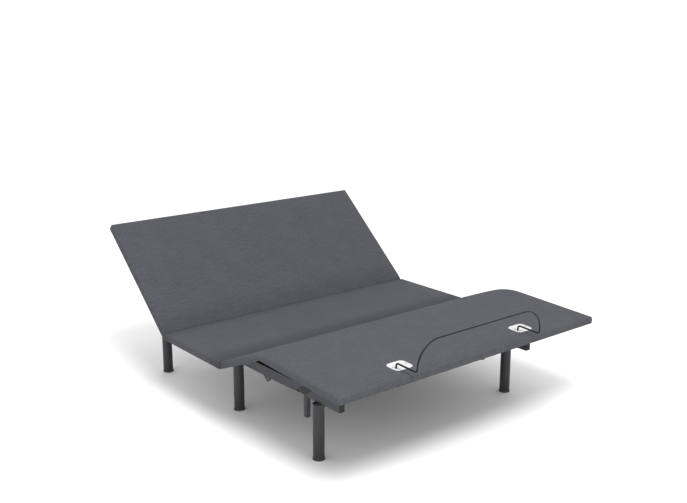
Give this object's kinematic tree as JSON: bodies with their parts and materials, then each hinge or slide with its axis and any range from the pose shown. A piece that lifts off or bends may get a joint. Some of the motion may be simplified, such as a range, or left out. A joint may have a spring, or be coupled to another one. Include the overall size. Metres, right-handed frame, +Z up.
{
  "type": "adjustable bed base",
  "caption": "Low adjustable bed base with fabric covered folding deck panels on a steel chassis, lift frames, linear drives, screw-in legs and a wire mattress retainer",
  "frame": {"origin": "on the floor under the middle of the base's bounding box at rest", "axes": "+Z up, +Y from the foot end to the head end, +X to the right seen from the foot end"},
  "size_m": [1.511, 1.8854, 0.7684],
  "materials": {
    "upholstery": "slate grey woven cover",
    "deck_board": "black stained board",
    "frame": "dark grey powder coat",
    "black_plastic": "black moulded plastic",
    "white_plate": "white moulded plastic",
    "black_rod": "black coated wire",
    "drive_rod": "bright rod",
    "roller": "grey nylon"
  },
  "bodies": {
    "head_chassis": {"head_rail_left": "frame", "head_rail_right": "frame", "fold_plate_head_left": "frame", "fold_plate_head_right": "frame", "leg_head_left": "frame", "leg_head_left_foot": "black_plastic", "leg_head_right": "frame", "leg_head_right_foot": "black_plastic", "leg_middle_left": "frame", "leg_middle_left_foot": "black_plastic", "leg_middle_right": "frame", "leg_middle_right_foot": "black_plastic", "head_end_tube": "frame", "head_fold_tube": "frame", "head_motor_tube": "frame", "head_motor": "black_plastic", "seat_pad": "upholstery", "seat_board": "deck_board", "control_box": "black_plastic"},
    "head_deck": {"head_pad": "upholstery", "head_board": "deck_board"},
    "head_lift": {"head_lift_tube": "frame", "head_lift_arm_left": "frame", "head_lift_arm_right": "frame"},
    "head_roller_left_body": {"head_roller_left": "roller"},
    "head_roller_right_body": {"head_roller_right": "roller"},
    "head_rod": {"head_drive_rod": "drive_rod"},
    "foot_chassis": {"foot_rail_left": "frame", "foot_rail_right": "frame", "foot_rail_nose_left": "frame", "foot_rail_nose_right": "frame", "foot_pivot_block_left": "black_plastic", "foot_pivot_block_right": "black_plastic", "foot_rail_cap_left": "black_plastic", "foot_rail_cap_right": "black_plastic", "fold_plate_foot_left": "frame", "fold_plate_foot_right": "frame", "leg_foot_left": "frame", "leg_foot_left_foot": "black_plastic", "leg_foot_right": "frame", "leg_foot_right_foot": "black_plastic", "foot_fold_tube": "frame", "foot_motor_tube": "frame", "foot_motor": "black_plastic"},
    "thigh_deck": {"thigh_pad": "upholstery", "thigh_board": "deck_board", "knee_leaf_thigh": "frame"},
    "foot_deck": {"foot_pad": "upholstery", "foot_board": "deck_board", "knee_leaf_foot": "frame", "retainer_plate_left": "white_plate", "retainer_plate_right": "white_plate"},
    "foot_lift": {"foot_lift_tube": "frame", "foot_lift_arm_left": "frame", "foot_lift_arm_right": "frame"},
    "foot_roller_left_body": {"foot_roller_left": "roller"},
    "foot_roller_right_body": {"foot_roller_right": "roller"},
    "foot_rod": {"foot_drive_rod": "drive_rod"},
    "bar": {"retainer_bar": "black_rod"}
  },
  "joints": [
    {"name": "head_tilt", "type": "hinge", "parent": "head_chassis", "child": "head_deck", "pos_m": [0, 0.42869, 0.305], "axis": [1, 0, 0], "range_deg": [-41.2, 16.8]},
    {"name": "head_lift_turn", "type": "hinge", "parent": "head_chassis", "child": "head_lift", "pos_m": [0, 0.43269, 0.268], "axis": [1, 0, 0], "range_deg": [-39.07, 15.96]},
    {"name": "head_roller_left_spin", "type": "hinge", "parent": "head_lift", "child": "head_roller_left_body", "pos_m": [0, 0.62998, 0.43735], "axis": [1, 0, 0], "continuous": true},
    {"name": "head_roller_right_spin", "type": "hinge", "parent": "head_lift", "child": "head_roller_right_body", "pos_m": [0, 0.62998, 0.43735], "axis": [1, 0, 0], "continuous": true},
    {"name": "head_rod_slide", "type": "slide", "parent": "head_chassis", "child": "head_rod", "axis": [0, 1, 0], "range_m": [-0.05064, 0.02071]},
    {"name": "chassis_fold", "type": "hinge", "parent": "head_chassis", "child": "foot_chassis", "pos_m": [0, 0.05969, 0.247], "axis": [1, 0, 0], "range_deg": [0, 90]},
    {"name": "thigh_tilt", "type": "hinge", "parent": "foot_chassis", "child": "thigh_deck", "pos_m": [0, -0.06531, 0.305], "axis": [-1, 0, 0], "range_deg": [-23, 13]},
    {"name": "knee_turn", "type": "hinge", "parent": "thigh_deck", "child": "foot_deck", "pos_m": [0, -0.37376, 0.4229], "axis": [1, 0, 0], "range_deg": [-25.7, 14.55]},
    {"name": "foot_lift_turn", "type": "hinge", "parent": "foot_chassis", "child": "foot_lift", "pos_m": [0, -0.41131, 0.268], "axis": [-1, 0, 0], "range_deg": [-27.77, 15.71]},
    {"name": "foot_roller_left_spin", "type": "hinge", "parent": "foot_lift", "child": "foot_roller_left_body", "pos_m": [0, -0.63946, 0.39268], "axis": [1, 0, 0], "continuous": true},
    {"name": "foot_roller_right_spin", "type": "hinge", "parent": "foot_lift", "child": "foot_roller_right_body", "pos_m": [0, -0.63946, 0.39268], "axis": [1, 0, 0], "continuous": true},
    {"name": "foot_rod_slide", "type": "slide", "parent": "foot_chassis", "child": "foot_rod", "axis": [0, -1, 0], "range_m": [-0.03522, 0.01995]},
    {"name": "bar_lift_out", "type": "slide", "parent": "foot_deck", "child": "bar", "axis": [0, -0.0462, 0.9989], "range_m": [0, 0.03]}
  ],
  "couplings": [
    {"joint": "head_lift_turn", "follows": "head_tilt", "ratio": 0.947},
    {"joint": "head_rod_slide", "follows": "head_tilt", "m_per_rad": 0.07028},
    {"joint": "knee_turn", "follows": "thigh_tilt", "ratio": 1.1152},
    {"joint": "foot_lift_turn", "follows": "thigh_tilt", "ratio": 1.205},
    {"joint": "foot_rod_slide", "follows": "thigh_tilt", "m_per_rad": 0.08748}
  ]
}
